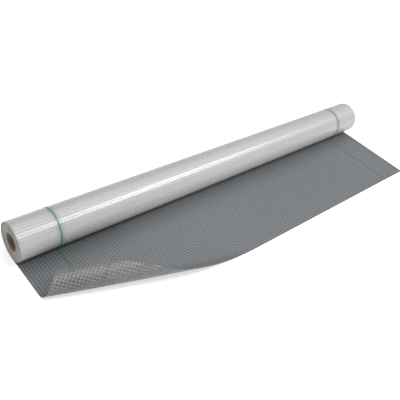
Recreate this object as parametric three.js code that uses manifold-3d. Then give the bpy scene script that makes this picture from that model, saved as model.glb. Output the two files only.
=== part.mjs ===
// A roll of reinforced mesh on a cardboard tube. It lies on its side with its loose end unrolled on the
// floor, and one corner of the loose end curls up and back over the sheet.
// Millimetres. X runs along the roll, the loose end lies toward -Y, and Z is up from the floor.
import * as THREE from 'three';
import { mergeVertices } from 'three/addons/utils/BufferGeometryUtils.js';
import Module from 'manifold-3d';

const wasm = await Module();
wasm.setup();

// The roll
const meshWidth = 1500;
const rollDiameter = 118.6;
const tubeBore = 50;
const tubeWall = 3;
const tubeRecess = 1;
const windingClearance = 0.3;

// The turns that show on each end of the roll, drawn as bundles with a groove between them
const bundleCount = 9;
const grooveWidth = 1.1;
const grooveDepth = 1.2;

// The loose end
const sheetThickness = 1;
const looseLength = 331;
const liftDistance = 148.5;
const liftAngle = THREE.MathUtils.degToRad(15.2);
const nearBendRadius = 28.6;
const farBendRadius = 87.5;
const bendSpread = 950;
const bendTurn = THREE.MathUtils.degToRad(98);
const topRadius = 30;
const topTurn = THREE.MathUtils.degToRad(188);
const tuckRadius = 44;
const tipLength = 8;

// The curl leans away from the near end, by this much for each square millimetre of distance past its line.
const curlLean = 0.00157;

// Facets
const facetsAround = 48;
const curlStep = 7;
const facetsAlong = 14;
const seamOverlap = 4;
const snap = 1e-4;

// Sizes that follow from the ones above
const rollRadius = rollDiameter / 2;
const tubeOuterRadius = tubeBore / 2 + tubeWall;
const windingInnerRadius = tubeOuterRadius + windingClearance;
const windingDepth = rollRadius - windingInnerRadius;
const leftEdge = -meshWidth / 2;
const rightEdge = meshWidth / 2;

// The origin is under the middle of the whole object, so the roll's axis lies behind it.
const axisY = (looseLength - rollRadius) / 2;
const cutEdgeY = axisY - looseLength;

const meshFinish = new THREE.MeshStandardMaterial({ color: 0xc4c5c3, roughness: 0.45, metalness: 0 });
const cardboardFinish = new THREE.MeshStandardMaterial({ color: 0x8a6546, roughness: 0.9, metalness: 0 });

// One closed solid from a geometry, with its positions rounded so that touching faces meet exactly.
function solidOf(geometry) {
  const bare = geometry.clone();
  bare.deleteAttribute('normal');
  bare.deleteAttribute('uv');
  const position = bare.getAttribute('position');
  position.array.forEach((value, i) => {
    position.array[i] = Math.round(value / snap) * snap;
  });
  const merged = mergeVertices(bare, snap / 2);
  return new wasm.Manifold(new wasm.Mesh({
    numProp: 3,
    vertProperties: new Float32Array(merged.getAttribute('position').array),
    triVerts: new Uint32Array(merged.index.array),
  }));
}

function geometryOf(solid) {
  const mesh = solid.getMesh();
  const geometry = new THREE.BufferGeometry();
  geometry.setAttribute('position', new THREE.BufferAttribute(new Float32Array(mesh.vertProperties), 3));
  geometry.setIndex(new THREE.BufferAttribute(new Uint32Array(mesh.triVerts), 1));
  return geometry;
}

// A closed profile of (radius, distance along the axis) points, turned round the roll's own axis.
function turned(profile) {
  const geometry = new THREE.LatheGeometry([...profile, profile[0]], facetsAround);
  geometry.rotateZ(-Math.PI / 2);
  geometry.translate(0, axisY, rollRadius);
  return geometry;
}

// The cardboard tube, its ends a little inside the ends of the winding.
function tubeGeometry() {
  const halfLength = meshWidth / 2 - tubeRecess;
  return turned([
    new THREE.Vector2(tubeBore / 2, -halfLength),
    new THREE.Vector2(tubeOuterRadius, -halfLength),
    new THREE.Vector2(tubeOuterRadius, halfLength),
    new THREE.Vector2(tubeBore / 2, halfLength),
  ]);
}

// One end of the winding, from its bore outward: flat bundles of turns with a V groove between them.
function endProfile() {
  const pitch = windingDepth / bundleCount;
  const points = [new THREE.Vector2(windingInnerRadius, meshWidth / 2)];
  for (let bundle = 1; bundle < bundleCount; bundle += 1) {
    const groove = windingInnerRadius + bundle * pitch;
    points.push(new THREE.Vector2(groove - grooveWidth / 2, meshWidth / 2));
    points.push(new THREE.Vector2(groove, meshWidth / 2 - grooveDepth));
    points.push(new THREE.Vector2(groove + grooveWidth / 2, meshWidth / 2));
  }
  points.push(new THREE.Vector2(rollRadius, meshWidth / 2));
  return points;
}

function windingGeometry() {
  const end = endProfile();
  const otherEnd = end.map((point) => new THREE.Vector2(point.x, -point.y));
  return turned([...otherEnd, ...end.reverse()]);
}

// The corner leaves the floor along a slanting line. A place on the sheet is given by its distance along that
// line from the left edge, and by its distance past the line toward the corner.
const liftStart = new THREE.Vector2(leftEdge, axisY - liftDistance);
const along = new THREE.Vector2(Math.cos(liftAngle), -Math.sin(liftAngle));
const past = new THREE.Vector2(-Math.sin(liftAngle), -Math.cos(liftAngle));
const liftLength = (looseLength - liftDistance) / Math.sin(liftAngle);
const cornerAlong = (looseLength - liftDistance) * Math.sin(liftAngle);
const cornerPast = (looseLength - liftDistance) * Math.cos(liftAngle);

// The flat part of the loose end, from the line under the axis to the cut edge, without the lifted corner.
function flatGeometry() {
  const liftEnd = liftStart.clone().addScaledVector(along, liftLength);
  const outline = new THREE.Shape([
    new THREE.Vector2(leftEdge, axisY),
    liftStart,
    liftEnd,
    new THREE.Vector2(rightEdge, cutEdgeY),
    new THREE.Vector2(rightEdge, axisY),
  ]);
  return new THREE.ExtrudeGeometry(outline, { depth: sheetThickness, bevelEnabled: false });
}

// The curl's section, as arcs one after another: a bend at the front that widens smoothly toward the far end,
// one over the top, and a slacker one that brings the tip down behind.
function sectionAt(distanceAlong, distancePast) {
  const spread = THREE.MathUtils.clamp(distanceAlong / bendSpread, 0, 1);
  const widening = spread * (2 - spread);
  const bends = [
    { radius: THREE.MathUtils.lerp(nearBendRadius, farBendRadius, widening), endTurn: bendTurn },
    { radius: topRadius, endTurn: topTurn },
    { radius: tuckRadius, endTurn: Infinity },
  ];
  let turn = 0;
  let rise = 0;
  let reach = Math.min(distancePast, 0);
  let left = Math.max(distancePast, 0);
  for (const { radius, endTurn } of bends) {
    const next = Math.min(turn + left / radius, endTurn);
    reach += radius * (Math.sin(next) - Math.sin(turn));
    rise += radius * (Math.cos(turn) - Math.cos(next));
    left -= radius * (next - turn);
    turn = next;
  }
  return { turn, reach, rise };
}

// Where a point of the sheet comes to lie, at the given height over its underside.
function curledPoint(distanceAlong, distancePast, height) {
  const { turn, reach, rise } = sectionAt(distanceAlong, distancePast);
  const lean = curlLean * Math.max(distancePast, 0) ** 2;
  const place = liftStart.clone().addScaledVector(along, distanceAlong + lean);
  place.addScaledVector(past, reach - height * Math.sin(turn));
  return [place.x, place.y, rise + height * Math.cos(turn)];
}

// The lifted corner is a triangle of sheet, cut into strips that run along the slanting line from the sheet's
// side edge to its cut edge. A strip's outline is a loop of points, over its underside and back over its top.
function curlGeometry() {
  const stripCount = Math.ceil((cornerPast - tipLength) / curlStep);
  const distances = [-seamOverlap];
  for (let strip = 0; strip <= stripCount; strip += 1) {
    distances.push((cornerPast - tipLength) * strip / stripCount);
  }
  const vertices = [];
  for (const distance of distances) {
    const share = distance / cornerPast;
    const sideEdge = share * cornerAlong;
    const cutEdge = liftLength + share * (cornerAlong - liftLength);
    for (let facet = 0; facet <= facetsAlong; facet += 1) {
      const place = THREE.MathUtils.lerp(sideEdge, cutEdge, facet / facetsAlong);
      vertices.push(...curledPoint(place, distance, 0));
    }
    for (let facet = facetsAlong; facet >= 0; facet -= 1) {
      const place = THREE.MathUtils.lerp(sideEdge, cutEdge, facet / facetsAlong);
      vertices.push(...curledPoint(place, distance, sheetThickness));
    }
  }
  const loop = 2 * (facetsAlong + 1);
  const last = (distances.length - 1) * loop;
  const faces = [];
  for (let row = 0; row < last; row += loop) {
    for (let side = 0; side < loop; side += 1) {
      const a = row + side;
      const b = row + (side + 1) % loop;
      faces.push(a, b, a + loop, b, b + loop, a + loop);
    }
  }
  for (let facet = 0; facet < facetsAlong; facet += 1) {
    const over = loop - 1 - facet;
    faces.push(facet, over, facet + 1, facet + 1, over, over - 1);
    faces.push(last + facet, last + facet + 1, last + over, last + facet + 1, last + over - 1, last + over);
  }
  const geometry = new THREE.BufferGeometry();
  geometry.setAttribute('position', new THREE.Float32BufferAttribute(vertices, 3));
  geometry.setIndex(faces);
  return geometry;
}

// The whole length of mesh is one piece: the winding, the flat stretch and the curled corner.
function sheetGeometry() {
  const winding = solidOf(windingGeometry());
  const flat = solidOf(flatGeometry());
  const curl = solidOf(curlGeometry());
  return geometryOf(winding.add(flat).add(curl));
}

function namedMesh(name, geometry, material) {
  const mesh = new THREE.Mesh(geometry, material);
  mesh.name = name;
  return mesh;
}

const roll = new THREE.Group();
roll.add(namedMesh('core_tube', tubeGeometry(), cardboardFinish));
roll.add(namedMesh('mesh_sheet', sheetGeometry(), meshFinish));

export default roll;
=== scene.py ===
"""A roll of film-closed reinforcing mesh, lying with its loose end unrolled and one corner curled back.

The whole length is one sheet. A place on it is given by u, the distance across its width from the middle,
and v, the distance along its length from under the roll's axis toward the cut edge. All pieces of the loose
end are worked out as functions of (u, v, height) and bent by the same curl, so that they stay together.
"""

import logging
import math
from collections.abc import Callable, Sequence
from dataclasses import dataclass, field
from enum import Enum

import bpy
import numpy as np
from mathutils import Matrix, Vector


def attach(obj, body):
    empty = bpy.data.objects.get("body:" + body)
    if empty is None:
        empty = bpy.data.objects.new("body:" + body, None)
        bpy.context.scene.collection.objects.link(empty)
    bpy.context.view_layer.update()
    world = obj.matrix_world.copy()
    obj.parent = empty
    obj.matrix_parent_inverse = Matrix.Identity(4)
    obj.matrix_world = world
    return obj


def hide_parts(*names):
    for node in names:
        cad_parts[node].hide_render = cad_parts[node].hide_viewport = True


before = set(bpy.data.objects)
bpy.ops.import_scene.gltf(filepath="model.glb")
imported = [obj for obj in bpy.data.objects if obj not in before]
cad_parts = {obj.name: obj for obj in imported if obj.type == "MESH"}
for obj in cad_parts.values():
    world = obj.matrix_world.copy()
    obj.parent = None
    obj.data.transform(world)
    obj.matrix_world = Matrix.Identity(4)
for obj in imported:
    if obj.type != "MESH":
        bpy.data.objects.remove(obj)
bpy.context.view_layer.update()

logging.basicConfig(level=logging.INFO, format="%(message)s")
log = logging.getLogger("mesh_roll")

Array = np.ndarray
Colour = tuple[float, float, float]
Place = tuple[float, float, float]
Socket = bpy.types.NodeSocket
Surface = Callable[[Array, Array, Array], Array]

ROOT_BODY = "root"
SHEET_MAP = "sheet_uv"
STRAND_SIDES = 6
WHITE = (1, 1, 1, 1)

# Where a Mix node has its share, its two colours and its result, when it mixes colours
MIX_SHARE, MIX_FIRST, MIX_SECOND, MIX_RESULT = 0, 6, 7, 2


class Slot(Enum):
    """A material slot of the record; no piece here takes it."""

    MESH = "mesh"


class Face(Enum):
    """Which finish a face of the loose film takes, by its material number."""

    TOP = 0
    UNDER = 1
    LIFTED = 2


class PointValue(Enum):
    """Values that the loose end's points carry for the materials."""

    COVER = "cover"
    LIFTED = "lifted"
    OVER_RIDGE = "over_ridge"


def grid_faces(rows: int, columns: int, closed: bool = False) -> Array:
    """Quads of a grid of points numbered row by row.

    Args:
        rows: points along the first direction.
        columns: points along the second direction.
        closed: whether the last column joins the first one.

    Returns:
        An array of four point numbers a face.
    """
    across = columns if closed else columns - 1
    row, column = np.meshgrid(np.arange(rows - 1), np.arange(across), indexing="ij")
    after = (column + 1) % columns
    return np.stack(
        [
            row * columns + column,
            row * columns + after,
            (row + 1) * columns + after,
            (row + 1) * columns + column,
        ],
        axis=-1,
    ).reshape(-1, 4)


def mesh_from_arrays(name: str, points: Array, faces: Array) -> bpy.types.Mesh:
    """A mesh from points and quads.

    Args:
        name: the mesh's name.
        points: (n, 3) places in metres.
        faces: (m, 4) point numbers.

    Returns:
        The new mesh, smooth shaded.
    """
    mesh = bpy.data.meshes.new(name)
    mesh.vertices.add(len(points))
    mesh.vertices.foreach_set("co", np.asarray(points, np.float32).ravel())
    mesh.loops.add(faces.size)
    mesh.loops.foreach_set("vertex_index", faces.astype(np.int32).ravel())
    mesh.polygons.add(len(faces))
    mesh.polygons.foreach_set("loop_start", np.arange(0, faces.size, 4, dtype=np.int32))
    mesh.update(calc_edges=True)
    mesh.validate()
    mesh.polygons.foreach_set("use_smooth", np.ones(len(mesh.polygons), bool))
    return mesh


def set_uv(mesh: bpy.types.Mesh, uv: Array) -> None:
    """Gives the mesh a UV map from one (u, v) pair a point.

    Args:
        mesh: the mesh to mark.
        uv: (n, 2) values, one for each point.
    """
    numbers = np.empty(len(mesh.loops), np.int32)
    mesh.loops.foreach_get("vertex_index", numbers)
    layer = mesh.uv_layers.new(name=SHEET_MAP)
    layer.data.foreach_set("uv", np.asarray(uv, np.float32)[numbers].ravel())


def set_point_values(mesh: bpy.types.Mesh, kind: PointValue, values: Array) -> None:
    """Gives each point of the mesh a value that a material can read."""
    layer = mesh.attributes.new(kind.value, "FLOAT", "POINT")
    layer.data.foreach_set("value", np.asarray(values, np.float32).ravel())


def darker(colour: Colour, share: float) -> Colour:
    """The colour with each of its values times the share."""
    return tuple(share * value for value in colour)


def place_piece(
    name: str, mesh: bpy.types.Mesh, finishes: Sequence[bpy.types.Material]
) -> bpy.types.Object:
    """Puts a mesh in the scene as a piece of the roll.

    Args:
        name: the piece's name.
        mesh: its mesh, already in place.
        finishes: its materials in order.

    Returns:
        The new object, riding on the root body.
    """
    piece = bpy.data.objects.new(name, mesh)
    bpy.context.scene.collection.objects.link(piece)
    for finish in finishes:
        mesh.materials.append(finish)
    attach(piece, ROOT_BODY)
    log.info("%s: %d faces", name, len(mesh.polygons))
    return piece


def strands(
    surface: Surface,
    across: Array,
    along: Array,
    half_width: float,
    heights: tuple[float, float],
    lengthwise: bool,
) -> tuple[Array, Array, Array]:
    """Threads laid in a sheet, each an oval tube closed at both ends.

    A point of the tube is the surface at (line + half_width * cos t, place along, middle + half * sin t),
    with t going round the oval. The end rings shrink to a point in the middle, which closes the tube.

    Args:
        surface: gives the place of (u, v, height).
        across: where each thread lies, in u for lengthwise threads and in v for crosswise ones.
        along: the places that each thread passes, in the other direction.
        half_width: half the thread's width.
        heights: the lowest and highest height of the thread.
        lengthwise: whether the threads run along v.

    Returns:
        Points, faces and the (u, v) of each point.
    """
    turn = np.arange(STRAND_SIDES) * 2 * np.pi / STRAND_SIDES
    ends = np.r_[along[0], along, along[-1]]
    fullness = np.r_[0.0, np.ones(len(along)), 0.0]
    line, place, angle = np.meshgrid(across, ends, turn, indexing="ij")
    full = np.broadcast_to(fullness[None, :, None], line.shape)
    side = line + half_width * np.cos(angle) * full
    middle = (heights[0] + heights[1]) / 2
    half = (heights[1] - heights[0]) / 2
    height = middle + half * np.sin(angle) * full
    u, v = (side, place) if lengthwise else (place, side)
    points = surface(u, v, height).reshape(-1, 3)
    one = grid_faces(len(ends), STRAND_SIDES, closed=True)
    if not lengthwise:
        one = one[:, ::-1]
    count = len(ends) * STRAND_SIDES
    faces = (one[None] + (np.arange(len(across)) * count)[:, None, None]).reshape(-1, 4)
    return points, faces, np.stack([u, v], -1).reshape(-1, 2)


@dataclass(frozen=True)
class SheetLie:
    """Sizes that the whole roll shares, and where each point of the sheet lies.

    The values repeat the named ones in the CAD source, in metres, radians and, for curl_lean, metres for each
    square metre. Film and strands lie between heights 0 and thickness over the sheet's underside.
    """

    width: float = 1.5
    roll_radius: float = 0.0593
    loose_length: float = 0.331
    thickness: float = 0.001
    film_low: float = 0.0003
    film_high: float = 0.0007
    lift_distance: float = 0.1485
    lift_angle: float = math.radians(15.2)
    near_bend_radius: float = 0.0286
    far_bend_radius: float = 0.0875
    bend_spread: float = 0.950
    bend_turn: float = math.radians(98)
    top_radius: float = 0.030
    top_turn: float = math.radians(188)
    tuck_radius: float = 0.044
    curl_lean: float = 1.57

    @property
    def axis_y(self) -> float:
        """The roll's axis, in y."""
        return (self.loose_length - self.roll_radius) / 2

    @property
    def round_length(self) -> float:
        """The length of one turn round the roll."""
        return 2 * np.pi * self.roll_radius

    @property
    def along(self) -> Array:
        """Unit vector along the slanting line where the corner leaves the floor."""
        return np.array([math.cos(self.lift_angle), -math.sin(self.lift_angle)])

    @property
    def past(self) -> Array:
        """Unit vector on the floor from that line toward the lifted corner."""
        return np.array([-math.sin(self.lift_angle), -math.cos(self.lift_angle)])

    @property
    def lift_start(self) -> Array:
        """Where the slanting line meets the sheet's left edge."""
        return np.array([-self.width / 2, self.axis_y - self.lift_distance])

    def line_places(self, u: Array, v: Array) -> tuple[Array, Array]:
        """Where points of the flat sheet lie from the slanting line.

        Args:
            u: places across the width.
            v: places along the length.

        Returns:
            Distances along the line and past it.
        """
        dx = u - self.lift_start[0]
        dy = self.axis_y - v - self.lift_start[1]
        return dx * self.along[0] + dy * self.along[1], dx * self.past[0] + dy * self.past[1]

    def section(self, along: Array, past: Array) -> tuple[Array, Array, Array]:
        """The curl's section: arcs of growing turn, one after another.

        Over each arc of radius r the turn grows by distance / r, the reach by r * (sin next - sin turn) and
        the rise by r * (cos turn - cos next). The first arc's radius widens along the line.

        Args:
            along: distance along the slanting line.
            past: distance past it, over the sheet.

        Returns:
            Turn in radians, reach past the line and rise over the floor.
        """
        spread = np.clip(along / self.bend_spread, 0, 1)
        widening = spread * (2 - spread)
        first = self.near_bend_radius + (self.far_bend_radius - self.near_bend_radius) * widening
        arcs = (
            (first, self.bend_turn),
            (np.full_like(first, self.top_radius), self.top_turn),
            (np.full_like(first, self.tuck_radius), math.inf),
        )
        turn, rise = np.zeros_like(past), np.zeros_like(past)
        reach, left = np.minimum(past, 0), np.maximum(past, 0)
        for radius, end_turn in arcs:
            after = np.minimum(turn + left / radius, end_turn)
            reach = reach + radius * (np.sin(after) - np.sin(turn))
            rise = rise + radius * (np.cos(turn) - np.cos(after))
            left = left - radius * (after - turn)
            turn = after
        return turn, reach, rise

    def turn(self, u: Array, v: Array) -> Array:
        """How far the sheet has turned at that place, in radians."""
        return self.section(*self.line_places(u, v))[0]

    def loose(self, u: Array, v: Array, height: Array) -> Array:
        """Where points of the loose end lie.

        The height is measured square to the sheet. The place along the line shifts by curl_lean * past ^ 2.

        Args:
            u: places across the width.
            v: places along the length.
            height: heights over the sheet's underside.

        Returns:
            Points, with x, y and z last.
        """
        along, past = self.line_places(u, v)
        turn, reach, rise = self.section(along, past)
        reach = reach - height * np.sin(turn)
        along = along + self.curl_lean * np.maximum(past, 0) ** 2
        x = self.lift_start[0] + self.along[0] * along + self.past[0] * reach
        y = self.lift_start[1] + self.along[1] * along + self.past[1] * reach
        return np.stack([x, y, rise + height * np.cos(turn)], -1)

    def wound(self, u: Array, v: Array, height: Array) -> Array:
        """Where points of the outermost turn lie.

        The turn goes up the back, over the top and down the front: y = axis + r sin a and z = R - r cos a,
        where r shrinks by the film's height over the turn, so that its end rests on the loose sheet.

        Args:
            u: places across the width.
            v: lengths round the roll, from under its axis.
            height: heights from the sheet's outer face toward the axis.

        Returns:
            Points, with x, y and z last.
        """
        angle = v / self.roll_radius
        radius = self.roll_radius - height - self.film_high * angle / (2 * np.pi)
        y = self.axis_y + radius * np.sin(angle)
        return np.stack([u, y, self.roll_radius - radius * np.cos(angle)], -1)


class NodeBoard:
    """A small helper that lays out a material's nodes."""

    def __init__(self, name: str) -> None:
        """Starts a material with one Principled shader."""
        self.material = bpy.data.materials.new(name)
        self.material.use_nodes = True
        self.tree = self.material.node_tree
        self.shader = self.tree.nodes["Principled BSDF"]

    def node(self, kind: str, **values: object) -> bpy.types.Node:
        """Adds a node.

        Args:
            kind: the node's type.
            values: its properties by name.

        Returns:
            The node.
        """
        made = self.tree.nodes.new(kind)
        for key, value in values.items():
            setattr(made, key, value)
        return made

    def link(self, start: Socket, end: Socket) -> None:
        """Joins two sockets."""
        self.tree.links.new(start, end)

    def math(self, operation: str, *inputs: object, clamp: bool = False) -> Socket:
        """A Math node of sockets and numbers.

        Args:
            operation: the node's operation.
            inputs: sockets or numbers in order.
            clamp: whether the result is held from 0 to 1.

        Returns:
            The result's socket.
        """
        made = self.node("ShaderNodeMath", operation=operation, use_clamp=clamp)
        for place, value in enumerate(inputs):
            if isinstance(value, (int, float)):
                made.inputs[place].default_value = value
            else:
                self.link(value, made.inputs[place])
        return made.outputs[0]

    def mix(self, share: object, first: object, second: object) -> Socket:
        """A colour between two, by share.

        Args:
            share: socket or number from 0 to 1.
            first: colour or socket at 0.
            second: colour or socket at 1.

        Returns:
            The colour's socket.
        """
        made = self.node("ShaderNodeMix", data_type="RGBA")
        for place, value in ((MIX_SHARE, share), (MIX_FIRST, first), (MIX_SECOND, second)):
            if isinstance(value, Socket):
                self.link(value, made.inputs[place])
            elif isinstance(value, tuple):
                made.inputs[place].default_value = (*value, 1)
            else:
                made.inputs[place].default_value = value
        return made.outputs[MIX_RESULT]

    def noise(self, vector: Socket, scale: float, detail: float = 3) -> Socket:
        """A noise.

        Args:
            vector: where it is read.
            scale: its grains a metre.
            detail: how many finer layers it has.

        Returns:
            Its value's socket.
        """
        made = self.node("ShaderNodeTexNoise")
        made.inputs["Scale"].default_value = scale
        made.inputs["Detail"].default_value = detail
        self.link(vector, made.inputs["Vector"])
        return made.outputs[0]

    def bump(self, height: Socket, strength: float, distance: float, socket: str = "Normal") -> None:
        """Drives the shader's normal, or its coat's, with a bump.

        Args:
            height: the relief from 0 to 1.
            strength: how much of it shows.
            distance: its depth in metres.
            socket: the shader's input.
        """
        made = self.node("ShaderNodeBump")
        made.inputs["Strength"].default_value = strength
        made.inputs["Distance"].default_value = distance
        self.link(height, made.inputs["Height"])
        self.link(made.outputs[0], self.shader.inputs[socket])

    def object_place(self) -> Socket:
        """The object's own coordinates."""
        return self.node("ShaderNodeTexCoord").outputs["Object"]

    def point_value(self, kind: PointValue) -> Socket:
        """A value that the mesh's points carry."""
        return self.node("ShaderNodeAttribute", attribute_name=kind.value).outputs["Fac"]

    def split(self, vector: Socket) -> tuple[Socket, Socket, Socket]:
        """A vector's three values.

        Args:
            vector: the vector's socket.

        Returns:
            The sockets of x, y and z.
        """
        made = self.node("ShaderNodeSeparateXYZ")
        self.link(vector, made.inputs[0])
        return made.outputs[0], made.outputs[1], made.outputs[2]

    def from_axis(self, place: Socket, lie: SheetLie) -> tuple[Socket, Socket, Socket]:
        """Coordinates with their origin on the roll's axis.

        Args:
            place: the object's own coordinates.
            lie: the sizes that place the axis.

        Returns:
            The sockets of x, y and z.
        """
        x, y, z = self.split(place)
        return x, self.math("SUBTRACT", y, lie.axis_y), self.math("SUBTRACT", z, lie.roll_radius)

    def colour(self, socket: Socket) -> None:
        """Drives the shader's colour."""
        self.link(socket, self.shader.inputs["Base Color"])

    def set(self, **values: float) -> None:
        """Sets plain values on the shader's own sockets, with _ for a space."""
        for key, value in values.items():
            self.shader.inputs[key.replace("_", " ")].default_value = value


@dataclass(frozen=True)
class FilmFinish:
    """Film with the mesh bonded in it. Its cells puff a little, and those beside the markers are tinted.

    cell is the mesh's spacing in u and v. fullness flattens the middle of a cell, tint_level and
    tint_softness flatten the tint over its reach, and gloss_narrowing narrows the glossy middle of a cell.
    """

    name: str
    colour: Colour
    cell_colour: Colour
    tint: Colour
    tint_share: float
    roughness: float
    cell: tuple[float, float]
    marker_u: float
    tint_reach: float = 0.016
    tint_level: float = 0.6
    tint_softness: float = 0.2
    cloud_scale: float = 9.0
    cloud_detail: float = 4.0
    cloud_share: float = 0.35
    cloud_shade: float = 0.86
    fullness: float = 0.6
    index: float = 1.5
    coat: float = 0.0
    coat_roughness: float = 0.18
    puff: float = 0.0004
    puff_strength: float = 0.5
    coat_puff: float = 0.0
    gloss_narrowing: float = 2.0
    see_through: bool = False

    def build(self) -> bpy.types.Material:
        """Makes the material.

        Returns:
            A material that reads the piece's own map, in metres over the sheet.
        """
        board = NodeBoard(self.name)
        u, v, _ = board.split(board.node("ShaderNodeUVMap", uv_map=SHEET_MAP).outputs[0])
        swell_u, swell_v = self.swell(board, u, self.cell[0]), self.swell(board, v, self.cell[1])
        full_u = board.math("POWER", swell_u, self.fullness)
        swell = board.math("MULTIPLY", full_u, board.math("POWER", swell_v, self.fullness))
        off = board.math("ABSOLUTE", board.math("SUBTRACT", board.math("ABSOLUTE", u), self.marker_u))
        near = board.math("SUBTRACT", 1.0, board.math("DIVIDE", off, self.tint_reach), clamp=True)
        near = board.math("SMOOTH_MIN", near, self.tint_level, self.tint_softness)
        near = board.math("MULTIPLY", near, self.tint_share / self.tint_level)
        cloud = board.noise(board.object_place(), self.cloud_scale, self.cloud_detail)
        cloud = board.math("MULTIPLY", cloud, self.cloud_share)
        grey = board.mix(swell, self.colour, self.cell_colour)
        grey = board.mix(cloud, grey, darker(self.cell_colour, self.cloud_shade))
        board.colour(board.mix(near, grey, self.tint))
        board.set(Roughness=self.roughness, IOR=self.index)
        board.set(Coat_Weight=self.coat, Coat_Roughness=self.coat_roughness)
        board.bump(swell, self.puff_strength, self.puff)
        if self.coat_puff > 0:
            board.bump(swell_u, 1.0, self.coat_puff, "Coat Normal")
            gloss = board.math("MULTIPLY", board.math("POWER", swell_u, self.gloss_narrowing), self.coat)
            board.link(gloss, board.shader.inputs["Coat Weight"])
        if self.see_through:
            board.link(board.point_value(PointValue.COVER), board.shader.inputs["Alpha"])
        return board.material

    @staticmethod
    def swell(board: NodeBoard, place: Socket, cell: float) -> Socket:
        """Grows from 0 over a thread to 1 in the middle of a cell, as |sin(pi place / cell)|."""
        return board.math("ABSOLUTE", board.math("SINE", board.math("MULTIPLY", place, math.pi / cell)))


@dataclass(frozen=True)
class ThreadFinish:
    """Glass thread under film: satin, and mottled as finely as its fibres.

    The band colour is painted shade for the lifted part of the sheet, where its threads face down and
    forward, and the over colour is the lit tone again for the part past the curl's ridge.
    """

    name: str
    colour: Colour
    roughness: float
    coat: float = 0.0
    coat_roughness: float = 0.15
    index: float = 1.5
    band_shade_colour: Colour | None = None
    over_colour: Colour | None = None
    fibre_scale: float = 420.0
    fibre_detail: float = 2.0
    fibre_shade: float = 0.78
    fibre_relief: float = 0.0002
    fibre_strength: float = 0.2

    def build(self) -> bpy.types.Material:
        """Makes the material.

        Returns:
            A material that reads where the piece is lifted, to paint shade there, and where it is past the
            ridge, where the lit tone comes back.
        """
        board = NodeBoard(self.name)
        fibre = board.noise(board.object_place(), self.fibre_scale, self.fibre_detail)
        shade = self.mottled(board, fibre, self.colour)
        # Painted shade on the curl's lower band, whose threads face down and forward; past the ridge the lit
        # tone comes back.
        parts = {PointValue.LIFTED: self.band_shade_colour, PointValue.OVER_RIDGE: self.over_colour}
        for value, colour in parts.items():
            if colour is not None:
                shade = board.mix(board.point_value(value), shade, self.mottled(board, fibre, colour))
        board.colour(shade)
        board.set(Roughness=self.roughness, IOR=self.index)
        board.set(Coat_Weight=self.coat, Coat_Roughness=self.coat_roughness)
        board.bump(fibre, self.fibre_strength, self.fibre_relief)
        return board.material

    def mottled(self, board: NodeBoard, fibre: Socket, colour: Colour) -> Socket:
        """The colour, darker between the fibres."""
        return board.mix(fibre, colour, darker(colour, self.fibre_shade))


@dataclass(frozen=True)
class EndFinish:
    """The roll's ends: the edges of many turns, as fine rings that wander in tone."""

    name: str = "turn_edges"
    pale: Colour = (0.34, 0.34, 0.315)
    dark: Colour = (0.14, 0.14, 0.128)
    ring: float = 0.00055
    ring_share: float = 0.4
    ring_relief: float = 0.0004
    ring_strength: float = 0.4
    wander: float = 0.0016
    wander_scale: float = 60.0
    wander_detail: float = 2.0
    patch_scale: float = 95.0
    patch_detail: float = 4.0
    patch_share: float = 0.7
    roughness: float = 0.55
    index: float = 1.48

    def build(self, lie: SheetLie) -> bpy.types.Material:
        """Makes the material from the distance to the roll's axis.

        Args:
            lie: the sizes that place the axis.

        Returns:
            The material.
        """
        board = NodeBoard(self.name)
        place = board.object_place()
        _, y, z = board.from_axis(place, lie)
        squares = board.math("ADD", board.math("POWER", y, 2.0), board.math("POWER", z, 2.0))
        radius = board.math("SQRT", squares)
        wander = board.noise(place, self.wander_scale, self.wander_detail)
        wander = board.math("MULTIPLY", wander, self.wander)
        angle = board.math("DIVIDE", board.math("ADD", radius, wander), self.ring / (2 * math.pi))
        fine = board.math("MULTIPLY_ADD", board.math("SINE", angle), 0.5, 0.5)
        patch = board.noise(place, self.patch_scale, self.patch_detail)
        rings = board.math("MULTIPLY", fine, self.ring_share)
        tone = board.math("MULTIPLY_ADD", patch, self.patch_share, rings, clamp=True)
        board.colour(board.mix(tone, self.pale, self.dark))
        board.set(Roughness=self.roughness, IOR=self.index)
        board.bump(fine, self.ring_strength, self.ring_relief)
        return board.material


@dataclass(frozen=True)
class CardboardFinish:
    """Spiral-wound grey-brown board: plies that wind along the tube, and paper fibre.

    seam_half_width is a share of a ply's width.
    """

    name: str = "cardboard"
    colour: Colour = (0.27, 0.195, 0.12)
    seam: Colour = (0.13, 0.085, 0.045)
    seam_half_width: float = 0.018
    seam_share: float = 0.75
    ply_width: float = 0.06
    fibre_scale: float = 260.0
    fibre_detail: float = 6.0
    fibre_shade: float = 0.6
    relief: float = 0.0005
    relief_strength: float = 0.5
    roughness: float = 0.9
    index: float = 1.4

    def build(self, lie: SheetLie) -> bpy.types.Material:
        """Makes the material.

        A ply's seam is where x / ply_width + the angle / a full turn is a whole number and a half.

        Args:
            lie: the sizes that place the axis.

        Returns:
            The material.
        """
        board = NodeBoard(self.name)
        place = board.object_place()
        x, y, z = board.from_axis(place, lie)
        turn = board.math("DIVIDE", board.math("ARCTAN2", z, y), 2 * math.pi)
        wind = board.math("FRACT", board.math("ADD", board.math("DIVIDE", x, self.ply_width), turn))
        off = board.math("ABSOLUTE", board.math("SUBTRACT", wind, 0.5))
        line = board.math("LESS_THAN", off, self.seam_half_width)
        fibre = board.noise(place, self.fibre_scale, self.fibre_detail)
        paper = board.mix(fibre, self.colour, darker(self.colour, self.fibre_shade))
        board.colour(board.mix(board.math("MULTIPLY", line, self.seam_share), paper, self.seam))
        board.set(Roughness=self.roughness, IOR=self.index)
        board.bump(board.math("SUBTRACT", fibre, line), self.relief_strength, self.relief)
        return board.material


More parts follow.
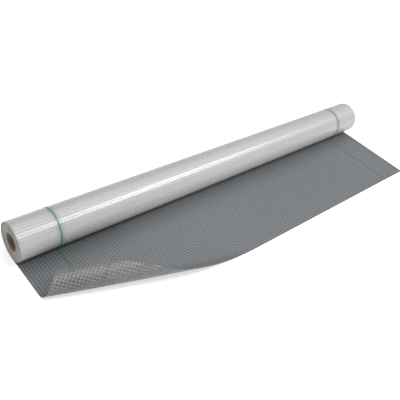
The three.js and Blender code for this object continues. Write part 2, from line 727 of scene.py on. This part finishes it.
@dataclass
class WoundRoll:
    """The winding: its outermost turn with the mesh in it, and the edges of the turns on both ends.

    Each end has turns of turn_pitch that stand back by up to turn_relief, and bundles of turns that stand
    back by up to twice bundle_relief. bundle_rate is in radians for each metre of radius. The relief is
    nothing at the rim, and full from 1 / rim_fade of the way to the bore.
    """

    lie: SheetLie
    cell_u: float
    cell_v: float
    bore_radius: float = 0.0283
    samples_per_cell: int = 4
    samples_round: int = 123
    end_rings: int = 44
    turn_pitch: float = 0.0016
    turn_relief: float = 0.0004
    bundle_relief: float = 0.0005
    bundle_rate: float = 700.0
    bundle_waver: float = 0.6
    rim_fade: float = 12.0
    film_dip: float = 0.00055
    crosswise_dip: float = 0.15
    strand_half_width: float = 0.0009
    marker_half_width: float = 0.0023
    warp_heights: tuple[float, float] = (0.00025, 0.0009)
    weft_heights: tuple[float, float] = (0.00035, 0.0009)
    marker_heights: tuple[float, float] = (0.0, 0.0009)
    warp_samples: int = 82
    weft_samples: int = 160
    marker_samples: int = 96
    weft_count: int = 41

    def outer_surface(self) -> tuple[Array, Array, Array]:
        """The outermost turn as a function of place across and angle round.

        Its height is the film's own, and it dips between the lengthwise strands by film_dip *
        |sin(pi u / cell)|, of which a crosswise_dip share also follows the crosswise strands.

        Returns:
            A (places, angles, 3) grid of points and the u and v of each.
        """
        lie = self.lie
        count = int(round(lie.width / self.cell_u)) * self.samples_per_cell
        across = np.linspace(-lie.width / 2, lie.width / 2, count + 1)
        u, v = np.meshgrid(across, np.linspace(0, lie.round_length, self.samples_round + 1), indexing="ij")
        crosswise = 1 - self.crosswise_dip + self.crosswise_dip * np.abs(np.sin(np.pi * v / self.cell_v))
        dip = self.film_dip * np.abs(np.sin(np.pi * u / self.cell_u)) * crosswise
        return lie.wound(u, v, lie.film_low + dip), u, v

    def end_surface(self, side: int) -> Array:
        """One end of the winding, from its outer rim to its bore.

        The face lies at the end of the width. It stands back by turn_relief * (1 - |sin(pi (r / pitch +
        angle / a full turn))|), which is a spiral, and slower waves let bundles of turns stand back more.

        Args:
            side: -1 for the near end and 1 for the far one.

        Returns:
            A (rings, angles, 3) grid of points.
        """
        lie = self.lie
        outer, _, v = self.outer_surface()
        rim = outer[0 if side < 0 else -1]
        angle = v[0] / lie.roll_radius
        rim_radius = np.hypot(rim[:, 1] - lie.axis_y, rim[:, 2] - lie.roll_radius)
        share = np.linspace(0, 1, self.end_rings + 1)[:, None]
        radius = rim_radius + (self.bore_radius - rim_radius) * share
        wind = radius / self.turn_pitch + angle / (2 * np.pi)
        relief = self.turn_relief * (1 - np.abs(np.sin(np.pi * wind)))
        waver = self.bundle_waver * np.sin(angle + side)
        slow = self.bundle_relief * (1 + np.sin(radius * self.bundle_rate + waver))
        fade = np.clip(share * self.rim_fade, 0, 1)
        x = side * (lie.width / 2 - (relief + slow) * fade)
        y = lie.axis_y + radius * np.sin(angle)
        z = lie.roll_radius - radius * np.cos(angle)
        return np.stack([np.broadcast_to(x, y.shape), y, z], -1)

    def winding_mesh(self) -> bpy.types.Mesh:
        """The closed winding: near end, outermost turn and far end as one grid, closed by bore and seam.

        Returns:
            The mesh, with material 0 on its outermost turn and 1 on the rest.
        """
        outer, u, v = self.outer_surface()
        near, far = self.end_surface(-1)[::-1], self.end_surface(1)
        points = np.concatenate([near[:-1], outer, far[1:]], 0)
        rows, columns = points.shape[:2]
        rings = self.end_rings
        flat_u = np.concatenate([np.full((rings, columns), u[0, 0]), u, np.full((rings, columns), u[-1, 0])])
        flat_v = np.broadcast_to(v[:1], (rows, columns))
        faces = grid_faces(rows, columns)
        start = np.arange(columns - 1)
        last = (rows - 1) * columns
        bore = np.stack([start + 1, start, start + last, start + 1 + last], -1)
        row = np.arange(rows - 1) * columns
        after = row + columns
        seam = np.stack([row, after, after + columns - 1, row + columns - 1], -1)
        every = np.concatenate([faces, bore, seam])
        mesh = mesh_from_arrays("wound_roll", points.reshape(-1, 3), every)
        set_uv(mesh, np.stack([flat_u, flat_v], -1).reshape(-1, 2))
        number = np.ones(len(every), np.int32)
        face_row = np.arange(len(faces)) // (columns - 1)
        number[: len(faces)] = (face_row < rings) | (face_row >= rows - 1 - rings)
        mesh.polygons.foreach_set("material_index", number)
        return mesh

    def build(self, film: bpy.types.Material, ends: bpy.types.Material) -> None:
        """Makes the winding, which stands for the CAD's sheet node."""
        piece = place_piece("wound_roll", self.winding_mesh(), [film, ends])
        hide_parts("mesh_sheet")

    def build_strands(self, across: Array, warp: bpy.types.Material, weft: bpy.types.Material) -> None:
        """The strands that show through the outermost turn.

        Args:
            across: where the lengthwise strands lie.
            warp: the lengthwise strands' finish.
            weft: the crosswise strands' finish.
        """
        lie = self.lie
        round_places = np.linspace(0, lie.round_length, self.warp_samples + 1)
        across_places = np.linspace(-lie.width / 2, lie.width / 2, self.weft_samples + 1)
        weft_lines = (np.arange(self.weft_count) + 0.5) * lie.round_length / self.weft_count
        width = self.strand_half_width
        self.strand_piece(
            "roll_warp", warp, strands(lie.wound, across, round_places, width, self.warp_heights, True)
        )
        self.strand_piece(
            "roll_weft", weft, strands(lie.wound, weft_lines, across_places, width, self.weft_heights, False)
        )

    def build_marker(self, lines: Array, finish: bpy.types.Material) -> None:
        """The marker threads round the roll."""
        places = np.linspace(0, self.lie.round_length, self.marker_samples + 1)
        made = strands(self.lie.wound, lines, places, self.marker_half_width, self.marker_heights, True)
        self.strand_piece("roll_marker", finish, made)

    @staticmethod
    def strand_piece(name: str, finish: bpy.types.Material, made: tuple[Array, Array, Array]) -> None:
        """Puts threads of the outermost turn in the scene.

        The turn's height grows inward, so the faces are turned over to look outward.

        Args:
            name: the piece's name.
            finish: its material.
            made: what strands() gives.
        """
        points, faces, uv = made
        mesh = mesh_from_arrays(name, points, faces[:, ::-1])
        set_uv(mesh, uv)
        place_piece(name, mesh, [finish])


@dataclass
class LooseEnd:
    """The unrolled stretch with its curled corner: film, strands both ways and the marker threads.

    The sheet counts as lifted from lifted_turn on, and as over the ridge from ridge_turn on. lifted_cover is
    how much of what lies behind the lifted film it hides.
    """

    lie: SheetLie
    fine_step: float = 0.005
    fine_margin: float = 0.02
    coarse_step: float = 0.025
    flat_step: float = 0.015
    curl_step: float = 0.004
    strand_half_width: float = 0.0010
    marker_half_width: float = 0.0019
    lifted_cover: float = 0.36
    lifted_turn: float = math.radians(35)
    lifted_blend: float = math.radians(35)
    ridge_turn: float = math.radians(95)
    ridge_blend: float = math.radians(25)

    def across_places(self) -> Array:
        """Places across the width: close together where the corner curls, wider apart beyond.

        Returns:
            The places in u.
        """
        lie = self.lie
        curl_end = -lie.width / 2 + (lie.loose_length - lie.lift_distance) / math.tan(lie.lift_angle)
        fine = np.arange(-lie.width / 2, curl_end + self.fine_margin, self.fine_step)
        coarse = np.linspace(fine[-1], lie.width / 2, int((lie.width / 2 - fine[-1]) / self.coarse_step))
        return np.r_[fine, coarse[1:]]

    def down_places(self) -> Array:
        """Places along the length: wider apart under the roll, close together toward the cut edge.

        Returns:
            The places in v.
        """
        lie = self.lie
        flat = np.arange(0, lie.lift_distance, self.flat_step)
        return np.r_[flat, np.arange(lie.lift_distance, lie.loose_length, self.curl_step), lie.loose_length]

    def lifted_share(self, turn: Array) -> Array:
        """How far the sheet has lifted at that turn, from 0 to 1."""
        return np.clip((turn - self.lifted_turn) / self.lifted_blend, 0, 1)

    def film_mesh(self) -> bpy.types.Mesh:
        """The film as a thin closed shell: the sheet at two heights, joined at the rim.

        Returns:
            The mesh, with its materials numbered by Face.
        """
        lie = self.lie
        u, v = np.meshgrid(self.across_places(), self.down_places(), indexing="ij")
        rows, columns = u.shape
        low = lie.loose(u, v, np.full_like(u, lie.film_low)).reshape(-1, 3)
        high = lie.loose(u, v, np.full_like(u, lie.film_high)).reshape(-1, 3)
        count = rows * columns
        sheet = grid_faces(rows, columns)
        numbers = np.arange(count).reshape(rows, columns)
        rim = np.r_[numbers[:, 0], numbers[-1, 1:], numbers[-2::-1, -1], numbers[0, -2:0:-1]]
        after = np.roll(rim, -1)
        walls = np.stack([rim, rim + count, after + count, after], -1)
        faces = np.concatenate([sheet[:, ::-1], sheet + count, walls])
        mesh = mesh_from_arrays("loose_film", np.concatenate([low, high]), faces)
        uv = np.stack([u, v], -1).reshape(-1, 2)
        set_uv(mesh, np.concatenate([uv, uv]))
        turn = lie.turn(u, v).ravel()
        cover = 1 - (1 - self.lifted_cover) * self.lifted_share(turn)
        set_point_values(mesh, PointValue.COVER, np.concatenate([cover, cover]))
        lifted = (turn[sheet] > self.lifted_turn).any(1)
        number = np.concatenate(
            [
                np.where(lifted, Face.LIFTED.value, Face.UNDER.value),
                np.where(lifted, Face.LIFTED.value, Face.TOP.value),
                np.full(len(walls), Face.TOP.value),
            ]
        )
        mesh.polygons.foreach_set("material_index", number.astype(np.int32))
        return mesh

    def build(self, finishes: Sequence[bpy.types.Material]) -> bpy.types.Object:
        """Makes the film."""
        return place_piece("loose_film", self.film_mesh(), finishes)

    def strand_piece(
        self, name: str, lines: Array, lengthwise: bool, half_width: float, finish: bpy.types.Material
    ) -> bpy.types.Object:
        """Strands of the loose end in one direction.

        Args:
            name: the piece's name.
            lines: where they lie.
            lengthwise: whether they run from the roll to the cut edge.
            half_width: half of one strand's width.
            finish: their material.

        Returns:
            The piece.
        """
        lie = self.lie
        along = self.down_places() if lengthwise else self.across_places()
        points, faces, uv = strands(lie.loose, lines, along, half_width, (0.0, lie.thickness), lengthwise)
        mesh = mesh_from_arrays(name, points, faces)
        set_uv(mesh, uv)
        # These shares place the painted shade of the curl's lower band on the threads, and lift it again past
        # the ridge.
        turn = lie.turn(uv[:, 0], uv[:, 1])
        set_point_values(mesh, PointValue.LIFTED, self.lifted_share(turn))
        past_ridge = np.clip((turn - self.ridge_turn) / self.ridge_blend, 0, 1)
        set_point_values(mesh, PointValue.OVER_RIDGE, past_ridge)
        return place_piece(name, mesh, [finish])


@dataclass
class MeshRoll:
    """The whole roll, with the spacing of its mesh."""

    lie: SheetLie = field(default_factory=SheetLie)
    marker_u: float = 0.630
    marker_every: int = 67
    weft_pitch: float = 0.00909
    edge_inset: float = 0.001

    @property
    def warp_pitch(self) -> float:
        """Spacing of the lengthwise strands, so that one lies on each marker."""
        return self.marker_u / self.marker_every

    def warp_places(self) -> Array:
        """Where the lengthwise strands lie, with one just inside each edge.

        Returns:
            The places in u.
        """
        half = self.lie.width / 2
        count = int(half / self.warp_pitch)
        edge = half - self.edge_inset
        return np.r_[-edge, np.arange(-count, count + 1) * self.warp_pitch, edge]

    def weft_places(self) -> Array:
        """Where the crosswise strands of the loose end lie."""
        return np.arange(self.weft_pitch / 2, self.lie.loose_length - self.edge_inset, self.weft_pitch)

    def film(self, name: str, **values: object) -> bpy.types.Material:
        """A film finish with this mesh's spacing."""
        spacing = (self.warp_pitch, self.weft_pitch)
        return FilmFinish(name, cell=spacing, marker_u=self.marker_u, **values).build()

    def outer_film(self) -> bpy.types.Material:
        """The glossy white film outside."""
        return self.film(
            "outer_film",
            colour=(0.325, 0.325, 0.318),
            cell_colour=(0.30, 0.30, 0.293),
            tint=(0.175, 0.235, 0.205),
            tint_share=0.9,
            roughness=0.3,
            coat=0.6,
            puff=0.0001,
            coat_puff=0.0012,
        )

    def inner_film(self) -> bpy.types.Material:
        """The grey film inside."""
        return self.film(
            "inner_film",
            colour=(0.059, 0.066, 0.072),
            cell_colour=(0.048, 0.054, 0.060),
            tint=(0.035, 0.08, 0.066),
            tint_share=0.7,
            roughness=0.5,
        )

    def lifted_film(self) -> bpy.types.Material:
        """The clear film of the curled corner, off the floor."""
        return self.film(
            "lifted_film",
            colour=(0.12, 0.125, 0.125),
            cell_colour=(0.095, 0.099, 0.10),
            tint=(0.07, 0.12, 0.10),
            tint_share=0.1,
            roughness=0.3,
            coat=0.8,
            puff=0.0005,
            see_through=True,
        )

    def build(self) -> None:
        """Builds and dresses every piece."""
        outer = self.outer_film()
        markers = np.array([-self.marker_u, self.marker_u])
        winding = WoundRoll(self.lie, cell_u=self.warp_pitch, cell_v=self.weft_pitch)
        winding.build(outer, EndFinish().build(self.lie))
        winding.build_strands(
            self.warp_places(),
            ThreadFinish("roll_thread", (0.315, 0.315, 0.308), 0.26, coat=0.2).build(),
            # The crosswise threads are darker than the lengthwise ones: painted shade of the ribs'
            # down-facing sides.
            ThreadFinish("roll_weft_thread", (0.265, 0.265, 0.26), 0.3, coat=0.2).build(),
        )
        self.build_loose_end(outer, markers)
        winding.build_marker(markers, ThreadFinish("roll_marker_thread", (0.075, 0.15, 0.12), 0.35).build())
        self.dress_tube()

    def build_loose_end(self, outer: bpy.types.Material, markers: Array) -> None:
        """Builds the loose end.

        Args:
            outer: the outer film's finish, which shows on the underside.
            markers: where the marker threads lie.
        """
        # The band colours of both thread finishes are painted shade on the lower band of the curl.
        thread = ThreadFinish(
            "sheet_thread",
            (0.195, 0.202, 0.206),
            0.38,
            coat=0.4,
            band_shade_colour=(0.085, 0.09, 0.09),
            over_colour=(0.20, 0.205, 0.205),
        ).build()
        green = ThreadFinish(
            "marker_thread", (0.055, 0.145, 0.11), 0.4, band_shade_colour=(0.085, 0.10, 0.095)
        ).build()
        loose = LooseEnd(self.lie)
        film = loose.build([self.inner_film(), outer, self.lifted_film()])
        warp = loose.strand_piece("sheet_warp", self.warp_places(), True, loose.strand_half_width, thread)
        weft = loose.strand_piece("sheet_weft", self.weft_places(), False, loose.strand_half_width, thread)
        marker = loose.strand_piece("sheet_marker", markers, True, loose.marker_half_width, green)

    def dress_tube(self) -> None:
        """Gives the CAD's cardboard tube its finish."""
        finish = CardboardFinish().build(self.lie)
        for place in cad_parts["core_tube"].material_slots:
            place.material = finish
        log.info("core_tube: dressed")


@dataclass(frozen=True)
class SoftLight:
    """A rectangular soft light: its place, the point that it faces, its sides in metres and its watts."""

    name: str
    place: Place
    target: Place
    size: tuple[float, float]
    power: float
    mirrored: bool = True

    def build(self) -> None:
        """Hangs the light. Where it isn't mirrored, it doesn't show in glossy surfaces."""
        light = bpy.data.lights.new(self.name, "AREA")
        light.shape = "RECTANGLE"
        light.size, light.size_y = self.size
        light.energy = self.power
        lamp = bpy.data.objects.new(self.name, light)
        lamp.location = self.place
        lamp.rotation_euler = (Vector(self.target) - Vector(self.place)).to_track_quat("-Z", "Y").to_euler()
        lamp.visible_glossy = self.mirrored
        bpy.context.scene.collection.objects.link(lamp)


@dataclass(frozen=True)
class Studio:
    """Floor, soft lights and the camera that the photograph was taken from."""

    floor_size: float = 14.0
    floor_colour: Colour = (0.58, 0.58, 0.58)
    floor_shade: float = 0.97
    floor_cloud_scale: float = 3.0
    floor_roughness: float = 0.9
    floor_gloss: float = 0.1
    floor_glow: float = 0.5
    camera_place: Place = (-1.18271567, -0.83334477, 1.15623659)
    camera_right: Place = (0.7463604, -0.63784494, 0.18999996)
    camera_up: Place = (0.31277112, 0.58814753, 0.74582619)
    lens: float = 48.62
    sensor: float = 36.0
    clip_start: float = 0.01
    world_strength: float = 0.42
    overhead_strength: float = 2.2
    overhead_spread: float = 75.0
    overhead_from: Place = (0.1, 0.15, 1.0)
    soft_lights: tuple[SoftLight, ...] = (
        SoftLight("key", (2.45, -2.04, 4.15), (-0.15, 0.1, 0.05), (1.8, 1.3), 225),
        SoftLight("fill", (-0.3, -2.6, 0.35), (0.0, 0.1, 0.05), (3.0, 0.5), 45, mirrored=False),
    )

    def build(self) -> None:
        """Builds floor, lights, world and camera."""
        self.build_floor()
        self.build_world()
        for light in self.soft_lights:
            light.build()
        self.overhead_light()
        self.build_camera()

    def build_floor(self) -> None:
        """A plain pale floor at z = 0, with a faint glow of its own that keeps the shadows on it light."""
        half = self.floor_size / 2
        corners = np.array([[-half, -half, 0], [half, -half, 0], [half, half, 0], [-half, half, 0]])
        floor = bpy.data.objects.new("floor", mesh_from_arrays("floor", corners, np.array([[0, 1, 2, 3]])))
        bpy.context.scene.collection.objects.link(floor)
        board = NodeBoard("floor_paper")
        cloud = board.noise(board.object_place(), self.floor_cloud_scale)
        board.colour(board.mix(cloud, self.floor_colour, darker(self.floor_colour, self.floor_shade)))
        board.shader.inputs["Emission Color"].default_value = WHITE
        board.set(Roughness=self.floor_roughness, Specular_IOR_Level=self.floor_gloss)
        board.set(Emission_Strength=self.floor_glow)
        floor.data.materials.append(board.material)

    def build_world(self) -> None:
        """Even white light from all round."""
        world = bpy.data.worlds.new("studio")
        world.use_nodes = True
        back = world.node_tree.nodes["Background"]
        back.inputs["Color"].default_value = WHITE
        back.inputs["Strength"].default_value = self.world_strength
        bpy.context.scene.world = world

    def overhead_light(self) -> None:
        """A wide soft light from above, the same over the whole floor."""
        light = bpy.data.lights.new("overhead", "SUN")
        light.energy = self.overhead_strength
        light.angle = math.radians(self.overhead_spread)
        lamp = bpy.data.objects.new("overhead", light)
        lamp.rotation_euler = (-Vector(self.overhead_from)).to_track_quat("-Z", "Y").to_euler()
        bpy.context.scene.collection.objects.link(lamp)

    def build_camera(self) -> None:
        """The camera, from its place and the directions of its right and up."""
        data = bpy.data.cameras.new("camera")
        data.lens, data.sensor_width, data.sensor_fit = self.lens, self.sensor, "HORIZONTAL"
        data.clip_start = self.clip_start
        right, up = Vector(self.camera_right), Vector(self.camera_up)
        turn = Matrix((right, up, right.cross(up))).transposed()
        camera = bpy.data.objects.new("camera", data)
        camera.matrix_world = Matrix.Translation(self.camera_place) @ turn.to_4x4()
        bpy.context.scene.collection.objects.link(camera)
        bpy.context.scene.camera = camera


def main() -> None:
    """Builds the roll and the studio."""
    bpy.context.scene.view_settings.view_transform = "Standard"
    MeshRoll().build()
    Studio().build()


if __name__ == "__main__":
    main()
